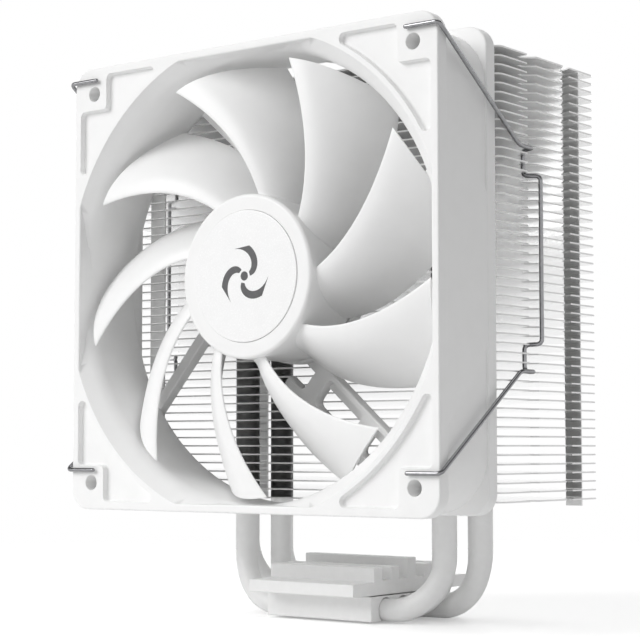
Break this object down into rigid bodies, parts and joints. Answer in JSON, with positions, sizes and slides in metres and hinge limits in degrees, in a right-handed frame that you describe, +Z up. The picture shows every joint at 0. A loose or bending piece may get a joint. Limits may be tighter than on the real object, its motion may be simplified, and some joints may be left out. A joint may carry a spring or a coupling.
{
  "type": "cpu tower cooler",
  "caption": "Tower cooler for a processor: pressed fins on U-shaped heat pipes over a contact base, with an axial fan held to the fins by spring-wire clips.",
  "frame": {"origin": "centre of the contact face under the base", "axes": "+Z up through the fins, -Y towards the fan's intake side, +X to the right seen from the fan"},
  "size_m": [0.126, 0.0773, 0.148],
  "materials": {
    "base_paint": "satin white powder paint on aluminium",
    "pipe_paint": "satin white paint on copper",
    "fin_paint": "satin white coating on thin aluminium sheet",
    "frame_plastic": "white moulded plastic, fine satin texture",
    "blade_plastic": "white moulded plastic, satin",
    "disc_film": "smooth white film",
    "spring_steel": "bright drawn wire",
    "plain_steel": "plain",
    "ferrite": "matt dark grey",
    "laminated_steel": "stacked sheets",
    "enamelled_copper": "enamelled winding wire",
    "circuit_board": "green solder mask",
    "sintered_bronze": "oil-filled bronze"
  },
  "bodies": {
    "heatsink": {"contact_block": "base_paint", "base_cover": "base_paint", "heat_pipe_1": "pipe_paint", "heat_pipe_2": "pipe_paint", "heat_pipe_3": "pipe_paint", "heat_pipe_4": "pipe_paint", "fin_pair_01": "fin_paint", "fin_pair_02": "fin_paint", "fin_pair_03": "fin_paint", "fin_pair_04": "fin_paint", "fin_pair_05": "fin_paint", "fin_pair_06": "fin_paint", "fin_pair_07": "fin_paint", "fin_pair_08": "fin_paint", "fin_pair_09": "fin_paint", "fin_pair_10": "fin_paint", "fin_pair_11": "fin_paint", "fin_pair_12": "fin_paint", "fin_pair_13": "fin_paint", "fin_pair_14": "fin_paint", "fin_pair_15": "fin_paint", "fin_pair_16": "fin_paint", "fin_pair_17": "fin_paint", "fin_pair_18": "fin_paint", "fin_pair_19": "fin_paint", "fin_pair_20": "fin_paint", "fin_pair_21": "fin_paint", "fin_pair_22": "fin_paint", "fin_pair_23": "fin_paint", "fin_pair_24": "fin_paint", "fin_pair_25": "fin_paint", "fan_frame": "frame_plastic", "stator_core": "laminated_steel", "stator_coil_1": "enamelled_copper", "stator_coil_2": "enamelled_copper", "stator_coil_3": "enamelled_copper", "stator_coil_4": "enamelled_copper", "fan_circuit_board": "circuit_board", "bearing_sleeve": "sintered_bronze", "bearing_cap": "plain_steel", "rear_disc": "disc_film"},
    "impeller": {"impeller": "blade_plastic", "hub_disc": "disc_film", "rotor_yoke": "plain_steel", "magnet_ring": "ferrite", "rotor_shaft": "plain_steel", "shaft_ring": "plain_steel"},
    "clip_right": {"wire_clip_right": "spring_steel"},
    "clip_left": {"wire_clip_left": "spring_steel"}
  },
  "joints": [
    {"name": "impeller_spin", "type": "hinge", "parent": "heatsink", "child": "impeller", "pos_m": [0, -0.0373, 0.08785], "axis": [0, -1, 0], "continuous": true},
    {"name": "clip_right_swing", "type": "hinge", "parent": "heatsink", "child": "clip_right", "pos_m": [0.0505, -0.05065, 0.0913], "axis": [0, 0, -1], "range_deg": [0, 20], "stiffness_Nm_per_rad": 0.02},
    {"name": "clip_left_swing", "type": "hinge", "parent": "heatsink", "child": "clip_left", "pos_m": [-0.0505, -0.05065, 0.0913], "axis": [0, 0, 1], "range_deg": [0, 20], "stiffness_Nm_per_rad": 0.02}
  ]
}
